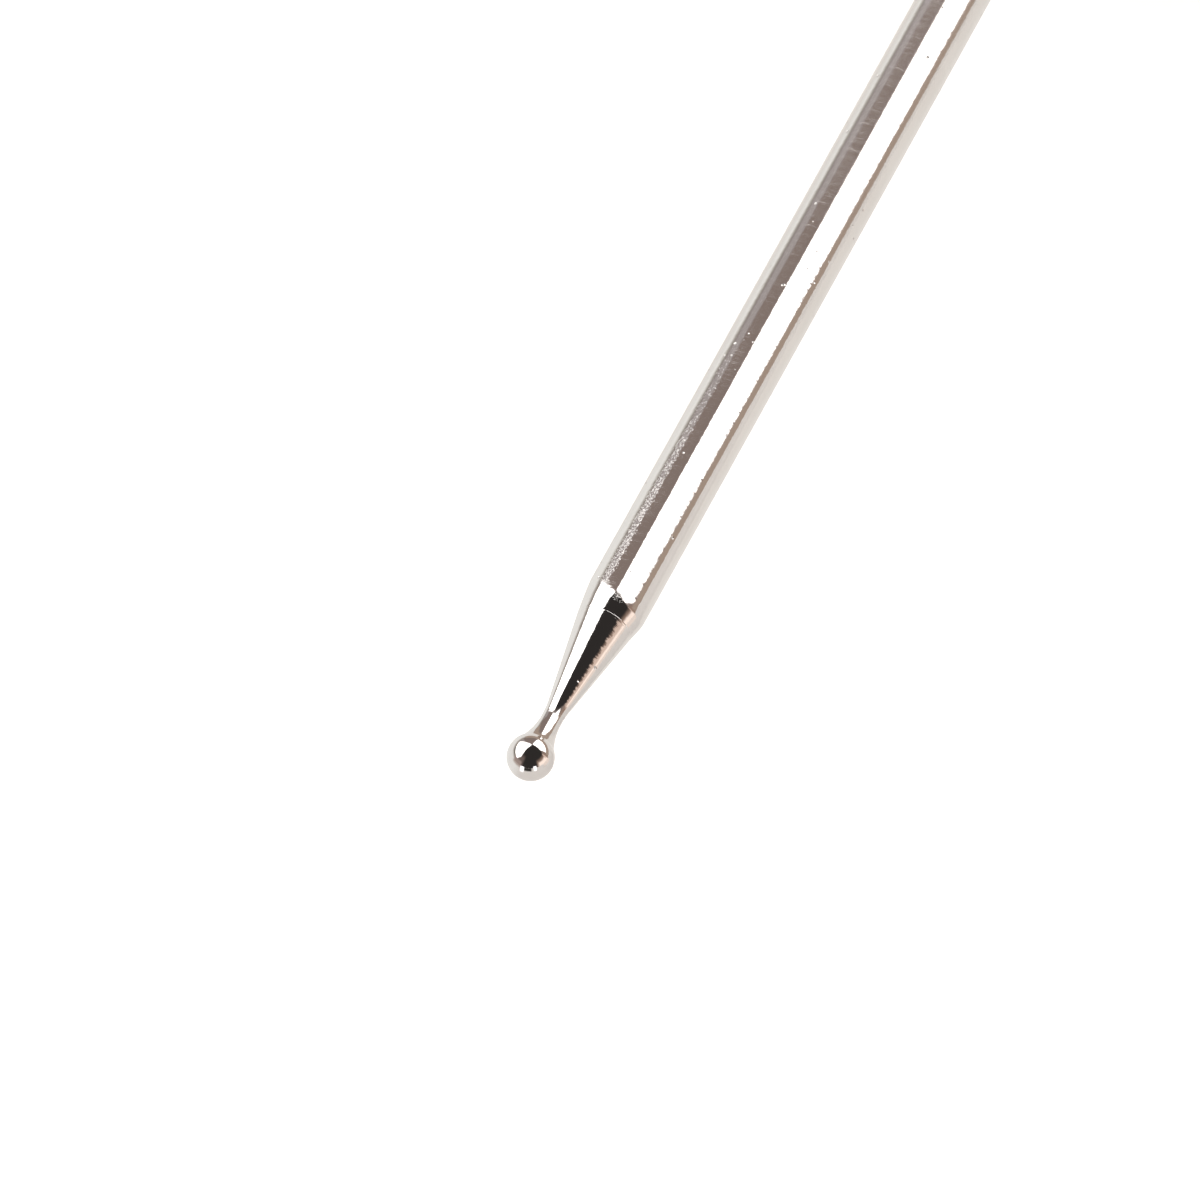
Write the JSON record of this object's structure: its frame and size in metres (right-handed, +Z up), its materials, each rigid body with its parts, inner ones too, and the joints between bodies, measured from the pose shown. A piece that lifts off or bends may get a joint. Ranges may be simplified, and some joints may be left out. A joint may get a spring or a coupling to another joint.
{
  "type": "ball point needle",
  "caption": "Ball-tipped plated needle with a waisted neck and cone, held by a knurled collet chuck in an eight-sided wooden handle.",
  "frame": {"origin": "bottom centre of the bounding box, on the surface that the handle's lower flat rests on", "axes": "+X runs along the tool from the ball towards the tail cap, +Z is up, square to the handle's lower flat, and +Y is to the left seen from the ball"},
  "size_m": [0.1534, 0.013, 0.013],
  "materials": {
    "plated_needle": "polished nickel plating with fine turning marks and pits",
    "plated_chuck": "satin-bright nickel plating, brass showing at worn edges",
    "spring_steel": "ground spring steel",
    "brass": "turned brass, lightly tarnished",
    "oiled_wood": "oiled close-grained hardwood"
  },
  "bodies": {
    "handle_body": {"handle": "oiled_wood", "ferrule": "plated_chuck", "ferrule_pin": "brass", "chuck_body": "plated_chuck", "tail_cap": "plated_chuck", "tail_screw": "brass"},
    "collet_body": {"collet": "spring_steel"},
    "nut_body": {"chuck_nut": "plated_chuck"},
    "needle_body": {"ball_needle": "plated_needle"}
  },
  "joints": [
    {"name": "collet_travel", "type": "slide", "parent": "handle_body", "child": "collet_body", "axis": [-1, 0, 0], "range_m": [0, 0.0015]},
    {"name": "nut_turn", "type": "hinge", "parent": "collet_body", "child": "nut_body", "pos_m": [-0.0226, 0, 0.0065], "axis": [-1, 0, 0], "range_deg": [0, 1080]},
    {"name": "needle_slide", "type": "slide", "parent": "collet_body", "child": "needle_body", "axis": [-1, 0, 0], "range_m": [0, 0.018]}
  ],
  "couplings": [
    {"joint": "nut_turn", "follows": "collet_travel", "rad_per_m": 12566}
  ]
}
